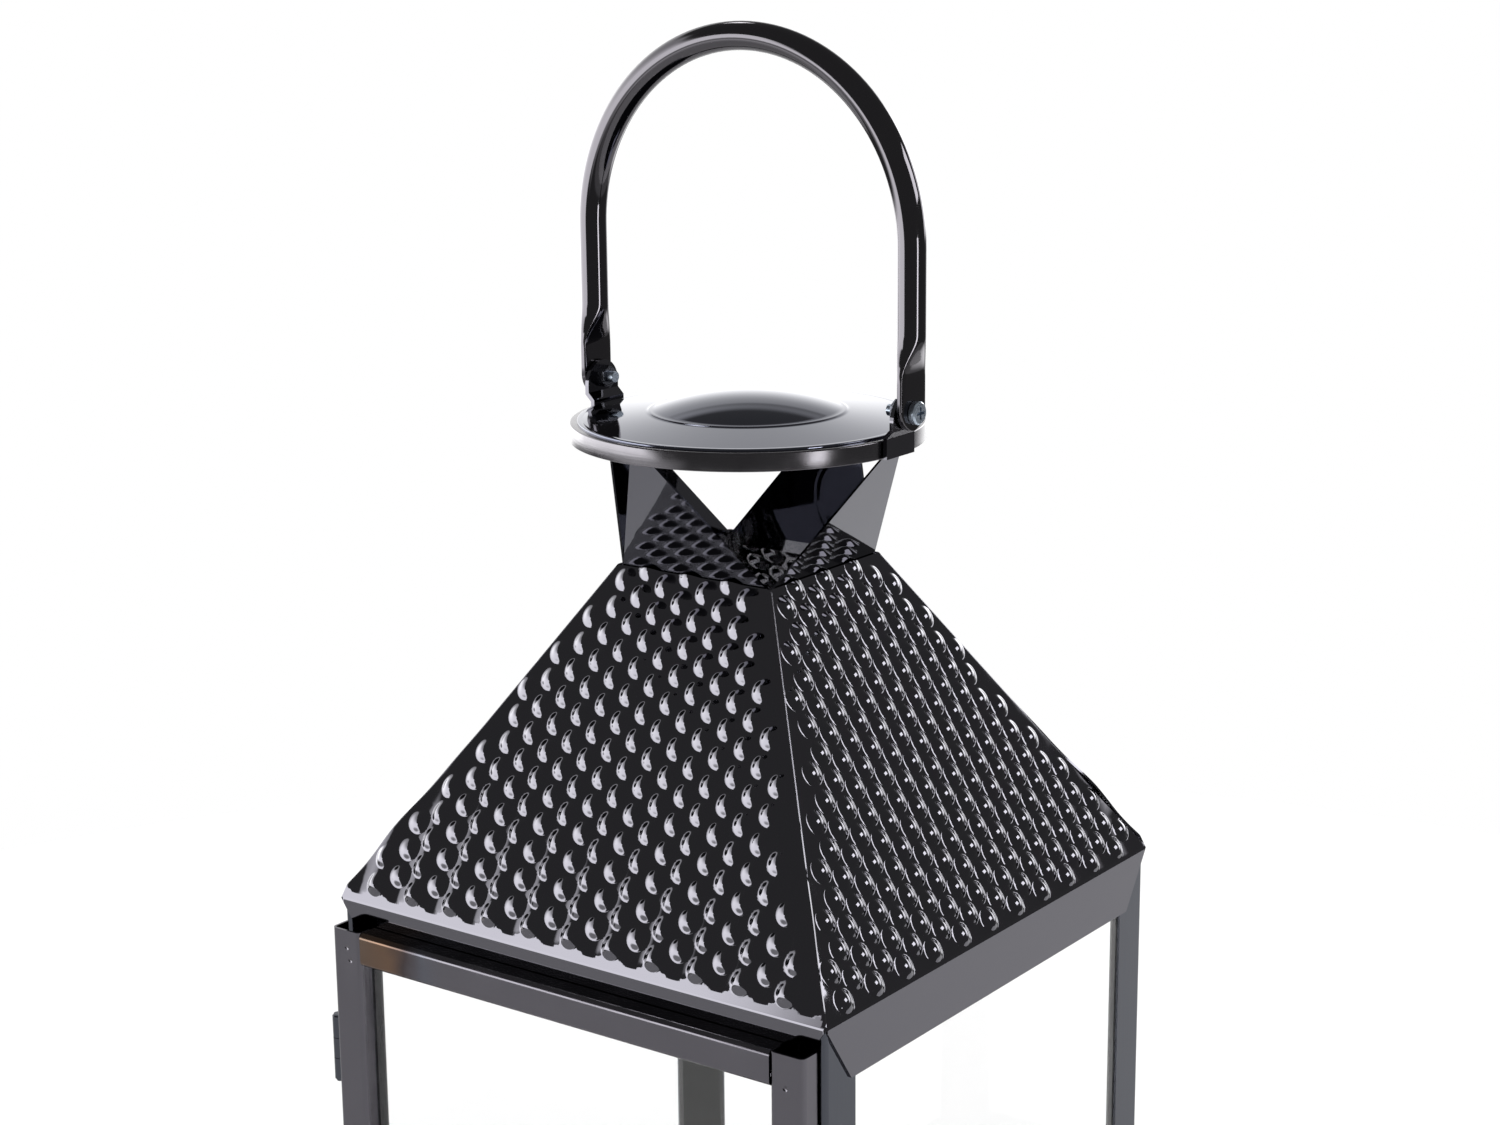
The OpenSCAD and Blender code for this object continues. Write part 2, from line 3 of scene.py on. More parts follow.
import bmesh
import bpy
from mathutils import Matrix, Vector
from mathutils.geometry import delaunay_2d_cdt


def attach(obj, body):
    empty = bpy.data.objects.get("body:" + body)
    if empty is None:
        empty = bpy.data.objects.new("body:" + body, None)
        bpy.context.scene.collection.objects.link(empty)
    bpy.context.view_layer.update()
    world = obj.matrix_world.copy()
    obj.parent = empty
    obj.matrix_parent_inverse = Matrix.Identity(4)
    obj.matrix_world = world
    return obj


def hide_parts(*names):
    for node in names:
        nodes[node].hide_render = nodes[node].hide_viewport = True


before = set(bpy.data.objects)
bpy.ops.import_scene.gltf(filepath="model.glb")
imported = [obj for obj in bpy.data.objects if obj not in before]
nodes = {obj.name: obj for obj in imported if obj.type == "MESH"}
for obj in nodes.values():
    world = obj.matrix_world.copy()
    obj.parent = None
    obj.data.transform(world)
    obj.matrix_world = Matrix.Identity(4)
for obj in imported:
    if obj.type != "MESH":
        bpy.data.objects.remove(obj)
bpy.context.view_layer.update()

# Camera
# The photograph is taken from the front right, 36 degrees round and a little above the cap, with
# a long lens. The place and the lens were fitted to the corners of the roof, the neck and the ring.
MM = 0.001
camera_at = Vector((572.3, -780.9, 605.7)) * MM
camera_turn, camera_dip, camera_tilt = math.radians(36.22), math.radians(13.63), math.radians(-0.55)
camera_data = bpy.data.cameras.new("camera")
camera_data.lens = 67.4
camera_data.sensor_width = 36
camera_data.clip_start, camera_data.clip_end = 0.02, 30
camera = bpy.data.objects.new("camera", camera_data)
looking = Matrix.Rotation(camera_turn, 4, "Z") @ Matrix.Rotation(math.pi / 2 - camera_dip, 4, "X")
camera.matrix_world = Matrix.Translation(camera_at) @ looking @ Matrix.Rotation(camera_tilt, 4, "Z")
bpy.context.scene.collection.objects.link(camera)
bpy.context.scene.camera = camera


def linear(code):
    """A hex colour as the linear values that Blender takes."""
    parts = [int(code[i:i + 2], 16) / 255 for i in (1, 3, 5)]
    return [p / 12.92 if p <= 0.04045 else ((p + 0.055) / 1.055) ** 2.4 for p in parts] + [1.0]


def put(tree, kind, settings={}, inputs={}):
    """Adds a node. An input is a number, a colour or the output of another node."""
    node = tree.nodes.new("ShaderNode" + kind)
    for name, value in settings.items():
        setattr(node, name, value)
    for name, value in inputs.items():
        if isinstance(value, bpy.types.NodeSocket):
            tree.links.new(value, node.inputs[name])
        else:
            node.inputs[name].default_value = value
    return node


def start_material(name):
    """An empty material, with its output and its place on the object in metres."""
    material = bpy.data.materials.new(name)
    material.use_nodes = True
    tree = material.node_tree
    tree.nodes.clear()
    output = put(tree, "OutputMaterial")
    place = put(tree, "TexCoord").outputs["Object"]
    return material, tree, output, place


def plated(name, colour, roughness=0.07, waviness=0.25, grain=0.0, grain_stretch=(1, 1, 1)):
    """A plated metal: a mirror of one colour that keeps a trace of the rolled sheet under it."""
    material, tree, output, place = start_material(name)
    # Sheet that was folded by hand is never quite flat: waves 30 mm long, 33 to the metre, bend
    # its reflections
    waves = put(tree, "TexNoise", {}, {"Vector": place, "Scale": 33, "Detail": 1, "Roughness": 0.4})
    bump = put(tree, "Bump", {}, {"Strength": waviness, "Distance": 0.0006, "Height": waves.outputs[0]})
    # Rolling lines run along the sheet, drawn about 1 mm apart, which is coarser than the real
    # ones, so that they show
    stretched = put(tree, "Mapping", {}, {"Vector": place, "Scale": grain_stretch})
    lines = put(tree, "TexNoise", {}, {"Vector": stretched.outputs[0], "Scale": 900, "Detail": 3})
    fine = put(tree, "Bump", {}, {
        "Strength": grain, "Distance": 0.00005, "Height": lines.outputs[0], "Normal": bump.outputs[0]})
    # Handling leaves it a little duller in patches of 15 mm, 66 to the metre
    smudge = put(tree, "TexNoise", {}, {"Vector": place, "Scale": 66, "Detail": 4})
    gloss = put(tree, "MapRange", {}, {
        "Value": smudge.outputs[0], "From Min": 0.3, "From Max": 0.7,
        "To Min": roughness * 0.7, "To Max": roughness * 1.5})
    shader = put(tree, "BsdfPrincipled", {}, {
        "Base Color": linear(colour), "Metallic": 1.0, "Roughness": gloss.outputs[0],
        "Normal": fine.outputs[0]})
    tree.links.new(shader.outputs[0], output.inputs["Surface"])
    return material


def dress(material, *names):
    """Gives carried-over nodes their material."""
    for name in names:
        slots = nodes[name].data.materials
        for i in range(len(slots)):
            slots[i] = material


# Black nickel on steel sheet: a dark neutral mirror, in which the walls of the lantern repeat
tray_nickel = plated("black_nickel_tray", "#66666c")
dress(tray_nickel, "base_tray", "floor_plate")

# Corner posts
# Four angles folded from the same sheet steel and plated with it. They are spot welded inside the
# flaps of the tray and of the roof.
# Black nickel on the angles: a little bluish, with fine rolling lines upright along it. It is darker
# than the tray's nickel as painted shade, which dims the side faces of the posts
shaded_post_nickel = plated("black_nickel_posts", "#505259", grain=0.3, grain_stretch=(1, 1, 0.03))
dress(shaded_post_nickel, "post_front_left", "post_front_right", "post_back_left", "post_back_right")

# Panes
# Clear float glass with ground edges, 2 mm thick. Three panes stand on the fold of the tray behind
# the posts, and the fourth lies in the channels of the door.
# Float glass: nothing but a faint reflection of the room, and it casts no dark shadow
clear_glass, tree, output, place = start_material("clear_float_glass")
glass_shader = put(tree, "BsdfPrincipled", {}, {
    "Base Color": linear("#ffffff"), "Roughness": 0.0, "IOR": 1.5, "Specular IOR Level": 0.25,
    "Transmission Weight": 1.0})
seen_through = put(tree, "BsdfTransparent", {}, {"Color": linear("#ffffff")})
light_path = put(tree, "LightPath")
glass_mix = put(tree, "MixShader", {}, {"Fac": light_path.outputs["Is Shadow Ray"]})
tree.links.new(glass_shader.outputs[0], glass_mix.inputs[1])
tree.links.new(seen_through.outputs[0], glass_mix.inputs[2])
tree.links.new(glass_mix.outputs[0], output.inputs["Surface"])
dress(clear_glass, "glass_left", "glass_right", "glass_back", "door_glass")

# Tabs and clips
# Short strips folded from steel sheet that reach over the edges of the panes and hold them, spot
# welded to the flap of the roof and to the channels of the door.
# Black nickel on strip: the same dark mirror as the tray
tab_nickel = plated("black_nickel_tabs", "#66666c")
dress(tab_nickel, "glass_tabs", "door_glass_clips")

# Roof sheets
# Four steel sheets stamped with staggered rows of round bosses, with a plain margin above the
# fold and an upright flap below it. They meet at the hips and are plated after the stamping.
# Black nickel on stamped sheet: almost black between the bosses, and each boss has one clear bright spot
roof_nickel = plated("black_nickel_roof", "#66656b", roughness=0.045, waviness=0.03)
HALF_W, EAVES_Z, ROOF_RISE, FLAP_H, SHEET_T = 105.0, 255.0, 117.6, 21.0, 0.8
NECK_HALF, HIP_GAP, FLAP_MITRE = 33.3, 0.12, 14.3
LEAN = math.atan2(HALF_W - NECK_HALF, ROOF_RISE)
SLOPE_LENGTH = math.hypot(HALF_W - NECK_HALF, ROOF_RISE)
# A width of the sheet times this is its shortest distance to the hip
HIP_SHARE = math.cos(math.atan(math.sin(LEAN)))
# A boss: its radius and height, and the powers that shape its crown and its foot
BOSS_R, BOSS_H, BOSS_POWER, BOSS_FOOT = 4.8, 1.75, 2.0, 1.6
COLUMN_STEP, ROW_STEP, BOSS_TO_HIP = 8.8, 10.0, 4.6
# The field round the bosses: how steeply it rises over the margin, the share of the margin's width
# at which it turns level, and the places up the slope between which it sinks back
FIELD_SLOPE, FIELD_TURN, FIELD_FADE_FROM, FIELD_FADE_TO = 0.24, 0.85, 18, 75
HIP_EDGE_W, HIP_EDGE_DIP = 0.5, 0.12
FOLD_R = 2.0
FOLD_LENGTH = FOLD_R * math.tan(LEAN / 2)
# How finely the mesh follows each edge of the sheet, the fold and the margin
SIDE_STEPS, TOP_STEPS, FLAP_STEPS, FOOT_STEPS = 240, 110, 12, 40
FOLD_GRID, MARGIN_GRID, EDGE_CLEAR, POINT_CLEAR, SQUARE = 1.25, 0.95, 0.9, 0.3, 10


def smooth(value, start, end):
    """Rises from 0 to 1 between two values, with level ends."""
    share = min(max((value - start) / (end - start), 0), 1)
    return share * share * (3 - 2 * share)


def boss_height(r):
    """Height of a boss at distance r from its middle: a low crown, a steep flank, a soft foot."""
    return BOSS_H * max(1 - (r / BOSS_R) ** BOSS_POWER, 0) ** BOSS_FOOT


def roof_half_width(s):
    """Half the width of the cut sheet at s, up the slope where it is over 0, down the flap below."""
    if s < 0:
        return HALF_W - HIP_GAP + s * FLAP_MITRE / FLAP_H
    return HALF_W - HIP_GAP - s * math.sin(LEAN)


def sheet_point(u, s, lift):
    """Point of the front sheet: u across, s up the slope from the fold, lift out of the sheet."""
    if abs(s) < FOLD_LENGTH:
        angle = (s / FOLD_LENGTH + 1) / 2 * LEAN
        reach = FOLD_R + lift
        out = HALF_W - FOLD_R + reach * math.cos(angle)
        return Vector((u, -out, EAVES_Z - FOLD_LENGTH + reach * math.sin(angle)))
    if s < 0:
        return Vector((u, -(HALF_W + lift), EAVES_Z + s))
    out = HALF_W - s * math.sin(LEAN) + lift * math.cos(LEAN)
    return Vector((u, -out, EAVES_Z + s * math.cos(LEAN) + lift * math.sin(LEAN)))


def boss_centres(first_row, column_shift):
    """Staggered columns of bosses, all of them clear of the hips."""
    centres = []
    for i in range(-12, 13):
        u = column_shift + i * COLUMN_STEP
        s = first_row + (ROW_STEP / 2 if i % 2 else 0)
        while s < SLOPE_LENGTH + 1:
            if (roof_half_width(s) - abs(u)) * HIP_SHARE > BOSS_TO_HIP:
                centres.append((u, s))
            s += ROW_STEP
    return centres


def lift_at(u, s, centres, margin, column_shift):
    """How far the sheet stands out at a place: its bosses, its margin and its pressed edges."""
    if s <= 0:
        return 0.0
    lift = 0.0
    for cu, cs in centres:
        lift = max(lift, boss_height(math.hypot(u - cu, s - cs)))
    hip = (roof_half_width(s) - abs(u)) * HIP_SHARE
    lift *= smooth(hip, 0, 1.2) * smooth(s, 0.4, 2.4)
    dip = HIP_EDGE_DIP * (1 - smooth(hip, 0, HIP_EDGE_W))
    return lift + field_at(u, s, margin, column_shift) - dip


def field_at(u, s, margin, column_shift):
    """The stamped field stands up over the margin, and comes lower under every second column."""
    if s <= 0:
        return 0.0
    wave = 0.5 + 0.5 * math.cos(math.pi * (u - column_shift) / COLUMN_STEP)
    edge = margin * (0.5 + 0.5 * wave)
    height = FIELD_SLOPE * edge * (1 - smooth(s, FIELD_FADE_FROM, FIELD_FADE_TO))
    share = s / edge
    if share > FIELD_TURN:
        rest = 1 - FIELD_TURN
        share = 1 - rest * math.exp(-(share - FIELD_TURN) / rest)
    return height * share


def embossed_sheet(first_row, column_shift, margin):
    """The front sheet with its flap, in two skins 0.8 mm apart that meet at the cut edges."""
    centres = boss_centres(first_row, column_shift)
    # Each square of the sheet knows the bosses in it and in the squares round it
    squares = {}
    for c in centres:
        for i in (-1, 0, 1):
            for j in (-1, 0, 1):
                key = (int(c[0] // SQUARE) + i, int(c[1] // SQUARE) + j)
                squares.setdefault(key, []).append(c)

    def bosses_near(u, s):
        return squares.get((int(u // SQUARE), int(s // SQUARE)), ())

    def place(u, s, depth=0.0):
        # A sheet that stands out further is that much wider, so that it still meets its neighbours
        wider = 1 + field_at(u, s, margin, column_shift) * math.cos(LEAN) / roof_half_width(s)
        lift = lift_at(u, s, bosses_near(u, s), margin, column_shift)
        return sheet_point(u * wider, s, lift - depth)

    def normal_at(u, s):
        step = 0.05
        across = place(u + step, s) - place(u - step, s)
        up = place(u, s + step) - place(u, s - step)
        return across.cross(up).normalized()

    def inside(u, s, edge):
        return abs(u) < roof_half_width(s) - edge and -FLAP_H + edge < s < SLOPE_LENGTH - edge

    # The outline, walked once round with points close enough to follow the bosses that it cuts
    slope = [i / SIDE_STEPS * SLOPE_LENGTH for i in range(SIDE_STEPS + 1)]
    flap = [-FLAP_H * i / FLAP_STEPS for i in range(1, FLAP_STEPS + 1)]
    top, foot = roof_half_width(SLOPE_LENGTH), roof_half_width(-FLAP_H)
    outline = [(roof_half_width(s), s) for s in slope]
    outline += [(top - 2 * top * i / TOP_STEPS, SLOPE_LENGTH) for i in range(1, TOP_STEPS)]
    outline += [(-roof_half_width(s), s) for s in slope[::-1] + flap]
    outline += [(-foot + 2 * foot * i / FOOT_STEPS, -FLAP_H) for i in range(1, FOOT_STEPS + 1)]
    outline += [(roof_half_width(s), s) for s in flap[-2::-1]]

    # Rings of points about each boss, as shares of its radius, with the number of points in each
    fine = (
        (0, 1), (0.14, 8), (0.28, 12), (0.42, 16), (0.56, 20), (0.7, 24), (0.82, 26), (0.91, 26),
        (0.97, 26), (1.0, 26), (1.05, 26), (1.14, 26))
    coarse = ((0, 1), (0.4, 8), (0.75, 12), (1.0, 14))
    skins = []
    for rings in (fine, coarse):
        points = list(outline)
        for cu, cs in centres:
            for share, count in rings:
                for k in range(count):
                    a = 2 * math.pi * (k + 0.5 * (count % 4 == 2)) / count
                    u = cu + share * BOSS_R * math.cos(a)
                    s = cs + share * BOSS_R * math.sin(a)
                    own = all(math.hypot(u - x, s - y) > (share - 0.03) * BOSS_R
                              for x, y in bosses_near(u, s))
                    if s > FOLD_LENGTH + POINT_CLEAR and inside(u, s, EDGE_CLEAR) and own:
                        points.append((u, s))
        for share in (-1, -0.5, 0, 0.5, 1):
            points += [(i * FOLD_GRID, share * FOLD_LENGTH) for i in range(-84, 85)
                       if inside(i * FOLD_GRID, share * FOLD_LENGTH, 0.5)]
        if rings is fine:
            # Two rows beside each hip give its pressed edge, and the margin has a grid of its own
            for s in slope[2:-2]:
                for inset in (0.25, 0.55):
                    points += [(side * (roof_half_width(s) - inset), s) for side in (-1, 1)]
            for i in range(-110, 111):
                u = i * MARGIN_GRID
                for s in (1.6, 2.6, 3.6, 4.6, 5.6, 6.6):
                    clear = all(math.hypot(u - x, s - y) > BOSS_R + POINT_CLEAR
                                for x, y in bosses_near(u, s))
                    if clear and inside(u, s, EDGE_CLEAR):
                        points.append((u, s))
        for s in (-18, -12, -6):
            points += [(u, s) for u in range(-100, 101, 5) if inside(u, s, 1)]
        loop = list(range(len(outline)))
        edges = [(i, (i + 1) % len(loop)) for i in loop]
        result = delaunay_2d_cdt([Vector(p) for p in points], edges, [loop], 1, 1e-4)
        skins.append((result[0], result[2]))

    verts, normals, faces = [], [], []
    for skin, (flat, triangles) in enumerate(skins):
        start = len(verts)
        for p in flat:
            outward = normal_at(p.x, p.y)
            verts.append(place(p.x, p.y, SHEET_T if skin else 0.0))
            normals.append(-outward if skin else outward)
        for t in triangles:
            t = [start + i for i in t]
            faces.append(t if skin == 0 else t[::-1])
    second = len(skins[0][0])
    skin_faces = len(faces)
    n = len(outline)
    for i in range(n):
        j = (i + 1) % n
        faces.append([i, second + i, second + j, j])
    return verts, normals, faces, skin_faces


def mesh_piece(name, verts, faces, material, smooth_below=30, normals=None, shaped=0):
    """A mesh from points in millimetres. Its first faces take the points' normals, where given."""
    data = bpy.data.meshes.new(name)
    data.from_pydata([Vector(v) * MM for v in verts], [], faces)
    tidy = bmesh.new()
    tidy.from_mesh(data)
    bmesh.ops.recalc_face_normals(tidy, faces=tidy.faces)
    tidy.to_mesh(data)
    tidy.free()
    data.materials.append(material)
    for polygon in data.polygons:
        polygon.use_smooth = True
    data.set_sharp_from_angle(angle=math.radians(smooth_below))
    if normals:
        corners = []
        for polygon in data.polygons:
            for v in polygon.vertices:
                corners.append(normals[v] if polygon.index < shaped else polygon.normal)
        data.normals_split_custom_set(corners)
    piece = bpy.data.objects.new(name, data)
    bpy.context.scene.collection.objects.link(piece)
    return piece


# The bosses of the front and back start further up, above a wider margin, than those of the sides
for names, first_turn, first_row, column_shift, margin in (
    (("front", "back"), 0, 7.9, -0.8, 6.6),
    (("right", "left"), math.pi / 2, 5.3, -3.0, 1.5),
):
    verts, normals, faces, skin_faces = embossed_sheet(first_row, column_shift, margin)
    for half_turns, name in enumerate(names):
        spin = Matrix.Rotation(first_turn + half_turns * math.pi, 3, "Z")
        sheet = mesh_piece("roof_sheet_" + name, [spin @ v for v in verts], faces, roof_nickel, 40,
                           [spin @ v for v in normals], skin_faces)
        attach(sheet, "body")
        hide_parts("roof_panel_" + name)

# Neck plates
# Four plain tapered plates of steel sheet that lean out from the top of the roof to the ring, and
# are spot welded to both.
# Black nickel on flat sheet: the flattest mirror of the lantern, each plate in one or two even greys
neck_nickel = plated("black_nickel_neck", "#6c6c73", roughness=0.03, waviness=0.1)
dress(neck_nickel, "neck_plate_front", "neck_plate_right", "neck_plate_back", "neck_plate_left")

# Cap ring
# A steel strip rolled to a ring, with its top edge turned in to a ledge for the cap. It stands on
# the neck plates and is brushed along its length before the plating.
# Black nickel on brushed strip: the reflections are drawn out into soft upright bands
ring_nickel = plated("black_nickel_ring", "#6a686c", roughness=0.16, waviness=0.0,
                           grain=0.4, grain_stretch=(0.05, 0.05, 1))


def lathe(outline, steps=160):
    """Turns an outline, a closed row of (radius, height), about the upright axis."""
    verts, faces = [], []
    count = len(outline)
    for k in range(steps):
        a = 2 * math.pi * k / steps
        verts += [(r * math.cos(a), r * math.sin(a), z) for r, z in outline]
    for k in range(steps):
        after = (k + 1) % steps
        for i in range(count):
            j = (i + 1) % count
            faces.append([k * count + i, after * count + i, after * count + j, k * count + j])
    return verts, faces


def round_corner(corner, before, after, radius, count=5):
    """Points of a rounded corner of an outline, between the corners before and after it."""
    corner, before, after = Vector(corner), Vector(before), Vector(after)
    one, two = (before - corner).normalized(), (after - corner).normalized()
    half = one.angle(two) / 2
    reach = radius / math.tan(half)
    middle = corner + (one + two).normalized() * radius / math.sin(half)
    first, last = corner + one * reach - middle, corner + two * reach - middle
    sweep = first.angle_signed(last)
    return [tuple(middle + Matrix.Rotation(-sweep * i / count, 2) @ first) for i in range(count + 1)]


def rounded(outline, radii):
    """An outline with the corners rounded by the radii in the same order, 0 for a sharp one."""
    result = []
    for i, corner in enumerate(outline):
        if radii[i]:
            result += round_corner(corner, outline[i - 1], outline[(i + 1) % len(outline)], radii[i])
        else:
            result.append(corner)
    return result


RING_R, RING_T, RING_FOOT, RING_TOP, LEDGE_R = 62.4, 1.0, 416.6, 423.0, 56.0
ring_outline = rounded([
    (RING_R - RING_T, RING_FOOT), (RING_R, RING_FOOT), (RING_R, RING_TOP), (LEDGE_R, RING_TOP),
    (LEDGE_R, RING_TOP - RING_T), (RING_R - RING_T, RING_TOP - RING_T)], [0, 0.3, 0.5, 0.3, 0, 0.4])
ring = mesh_piece("cap_ring_rolled", *lathe(ring_outline), ring_nickel, 40)
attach(ring, "body")
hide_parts("cap_ring")

# Cap plate
# A plate of steel sheet, spun to a low cone with a round dome in the middle and a flat edge. It
# lies loose on the ledge of the ring, between the ears.
# Black nickel on spun sheet: a smooth bluish mirror, pale all over the cone and dark in the dome
cap_nickel = plated("black_nickel_cap", "#626470", roughness=0.05, waviness=0.02)
CAP_R, CAP_EDGE_Z, CONE_R = 59.8, RING_TOP + SHEET_T, 57.9
DOME_R, DOME_FOOT, DOME_RISE, DOME_STEPS, CENTRE_R = 34.6, 426.3, 6.0, 24, 0.01
edge = [(CAP_R, RING_TOP), (CAP_R, RING_TOP + 0.5)]
edge += round_corner((CAP_R, CAP_EDGE_Z), (CAP_R, RING_TOP), (CONE_R, CAP_EDGE_Z), 0.35, 4)[1:]
upper = round_corner((CONE_R, CAP_EDGE_Z), (CAP_R, CAP_EDGE_Z), (DOME_R, DOME_FOOT), 1.2, 4)
# The groove at the foot of the dome, and the dome as part of a ball
upper += [(36.4, 426.05), (35.8, 426.1), (35.3, 426.2), (34.9, 426.4), (34.5, 426.62)]
ball = (DOME_R ** 2 + DOME_RISE ** 2) / (2 * DOME_RISE)
for i in range(DOME_STEPS + 1):
    r = (DOME_R - 0.7) * (1 - i / DOME_STEPS) + CENTRE_R
    upper.append((r, DOME_FOOT + DOME_RISE - ball + math.sqrt(ball ** 2 - r ** 2)))
lower = [(max(r - 0.2, CENTRE_R), max(z - SHEET_T, RING_TOP)) for r, z in reversed(upper)]
cap = mesh_piece("cap_plate_spun", *lathe(edge + upper + lower), cap_nickel, 50)
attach(cap, "body")
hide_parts("cap_plate")

# Ears
# Two stepped strips of steel with round tops that carry the bolts of the handle. Their feet are
# spot welded to the face of the ring.
# Black nickel on bent strip: a dark mirror, slightly wavy from the bending of the steps
ear_nickel = plated("black_nickel_ears", "#66656b", waviness=0.1)
dress(ear_nickel, "ear_left", "ear_right")

# Bolts and nuts
# M4 pan head bolts with a cross recess, cold forged and zinc plated, and hexagon nuts inside the
# ears. The small parts of the latch are turned or stamped and plated with the bolts.
# Bright zinc: a pale bluish metal, much lighter than the lantern and not quite a mirror
bright_zinc = plated("bright_zinc", "#b4bfcc", roughness=0.25, waviness=0.0, grain=0.2)
dress(bright_zinc, "bolt_left", "bolt_right", "latch_spindle", "latch_washer", "latch_catch")
# Dark zinc: grey and half bright, so that the flats of the nuts show
dark_zinc = plated("dark_zinc", "#70727a", roughness=0.2, waviness=0.0)
dress(dark_zinc, "nut_left", "nut_right")

# Hinges
# Two butt hinges with plain steel leaves and a pin each, one leaf welded to the post and the other
# to the door. They are plated with the posts and look the same.
# The hinges take the posts' darker nickel, with its painted shade
dress(shaded_post_nickel, "hinge_leaves_post", "hinge_leaves_door", "hinge_pins")

# Door
# A frame of four channels folded from steel sheet, welded at the corners and plated afterwards. It
# hangs on the two hinges at its left side.
# Black nickel on channels: greyer and duller than the roof, with rolling lines along each bar
DOOR_COLOUR = "#646268"
door_nickel = plated(
    "black_nickel_door", DOOR_COLOUR, roughness=0.14, grain=0.5, grain_stretch=(1, 1, 0.03))
rail_nickel = plated(
    "black_nickel_rails", DOOR_COLOUR, roughness=0.14, grain=0.5, grain_stretch=(0.03, 1, 1))


def heat_tint_and_shade(material, origin, low, high):
    """Brown, purple and blue tints between two places on X where the heat of the weld reached the sheet.
    The dark purple stop is partly that tint and partly painted shade.
    """
    tree = material.node_tree
    place = put(tree, "TexCoord").outputs["Object"]
    along = put(tree, "SeparateXYZ", {}, {"Vector": place}).outputs["X"]
    cloud = put(tree, "TexNoise", {}, {"Vector": place, "Scale": 60, "Detail": 2}).outputs[0]
    # The edge of the tint wanders by some 6 mm
    moved = put(tree, "Math", {"operation": "MULTIPLY_ADD"}, {0: cloud, 1: 0.012, 2: along}).outputs[0]
    share = put(tree, "MapRange", {}, {
        "Value": moved, "From Min": low * MM - origin.x, "From Max": high * MM - origin.x}).outputs[0]
    tint_and_shade = put(tree, "ValToRGB", {}, {"Fac": share})
    stops = tint_and_shade.color_ramp.elements
    stops[0].color, stops[1].color = linear("#5f554e"), linear(DOOR_COLOUR)
    # The stop at 0.62 is partly the purple of the heat tint and partly painted shade, a dark band across
    # the rails
    for at, code in ((0.45, "#6e594b"), (0.62, "#4c4445"), (0.8, "#5f6068")):
        stops.new(at).color = linear(code)
    tree.links.new(tint_and_shade.outputs[0], tree.nodes["Principled BSDF"].inputs["Base Color"])


def weld_dimples(material, origin, spots, radius):
    """Round pits of spot welds, at points in millimetres."""
    tree = material.node_tree
    place = put(tree, "TexCoord").outputs["Object"]
    shader = tree.nodes["Principled BSDF"]
    below = shader.inputs["Normal"].links[0].from_socket
    for spot in spots:
        far = put(tree, "VectorMath", {"operation": "DISTANCE"}, {
            0: place, 1: Vector(spot) * MM - origin})
        pit = put(tree, "MapRange", {"interpolation_type": "SMOOTHSTEP"}, {
            "Value": far.outputs["Value"], "From Min": 0.2 * radius * MM, "From Max": radius * MM})
        bump = put(tree, "Bump", {}, {
            "Strength": 0.9, "Distance": 0.0005, "Height": pit.outputs[0], "Normal": below})
        below = bump.outputs[0]
    tree.links.new(below, shader.inputs["Normal"])


# Heat tint at the left ends of the rails, with painted shade in its dark purple band
heat_tint_and_shade(rail_nickel, nodes["door_rail_top"].matrix_world.translation, -92, -45)
DOOR_FACE_Y = -113.2
weld_spots = [(-95, 241), (-93.5, 236.5), (95, 236), (-95, 14), (95, 14)]
weld_dimples(door_nickel, nodes["door_stile_left"].matrix_world.translation,
             [(x, DOOR_FACE_Y, z) for x, z in weld_spots], 1.1)
dress(door_nickel, "door_stile_left", "door_stile_right")
dress(rail_nickel, "door_rail_top", "door_rail_bottom")

# Latch knob
# A small knob turned from steel and plated like the ears, which it looks like. It is riveted to the
# spindle that goes through the right side of the door.
dress(ear_nickel, "latch_knob")

# Handle
# A polished steel tube bent to an arch, its ends pressed flat, rounded and drilled, then plated.
# The bolts go through the two flats and the ears, and the handle turns on them.
# Black nickel on polished tube: the darkest mirror, with thin bright lines along the bend
handle_nickel = plated("black_nickel_handle", "#58565a", roughness=0.06, waviness=0.0)
BOLT_Z, BORE_R, ARCH_Z, ARCH_R, ARCH_STEPS, TUBE_R = 432.0, 2.08, 487.0, 68.0, 72, 5.0
FLAT_W, FLAT_T, FLAT_FOOT, FLAT_END, TUBE_FOOT = 15.0, 2.4, 425.8, 443.5, 458.5
OVAL, BLOCK = 2, 7


def section(middle, across, half_across, half_deep, power, count=56):
    """A ring of points: an ellipse for the power OVAL, a rounded rectangle for the power BLOCK."""
    ring = []
    for k in range(count):
        a = 2 * math.pi * k / count
        x = math.copysign(abs(math.cos(a)) ** (2 / power), math.cos(a)) * half_across
        y = math.copysign(abs(math.sin(a)) ** (2 / power), math.sin(a)) * half_deep
        ring.append(Vector(middle) + Vector(across) * x + Vector((0, 1, 0)) * y)
    return ring


def loft(rings):
    """Joins rings of equal count and closes both ends."""
    count = len(rings[0])
    faces = []
    for row in range(len(rings) - 1):
        for k in range(count):
            after = (k + 1) % count
            a, b = row * count, (row + 1) * count
            faces.append([a + k, a + after, b + after, b + k])
    faces += [list(range(count))[::-1], list(range(len(rings) * count - count, len(rings) * count))]
    return [point for ring in rings for point in ring], faces


def cut_away(piece, tool):
    """Takes the shape of the tool out of a piece."""
    modifier = piece.modifiers.new("cut", "BOOLEAN")
    modifier.operation, modifier.solver, modifier.object = "DIFFERENCE", "EXACT", tool
    seen_as = piece.evaluated_get(bpy.context.evaluated_depsgraph_get())
    data = bpy.data.meshes.new_from_object(seen_as)
    piece.modifiers.clear()
    piece.data = data
    bpy.data.objects.remove(tool)


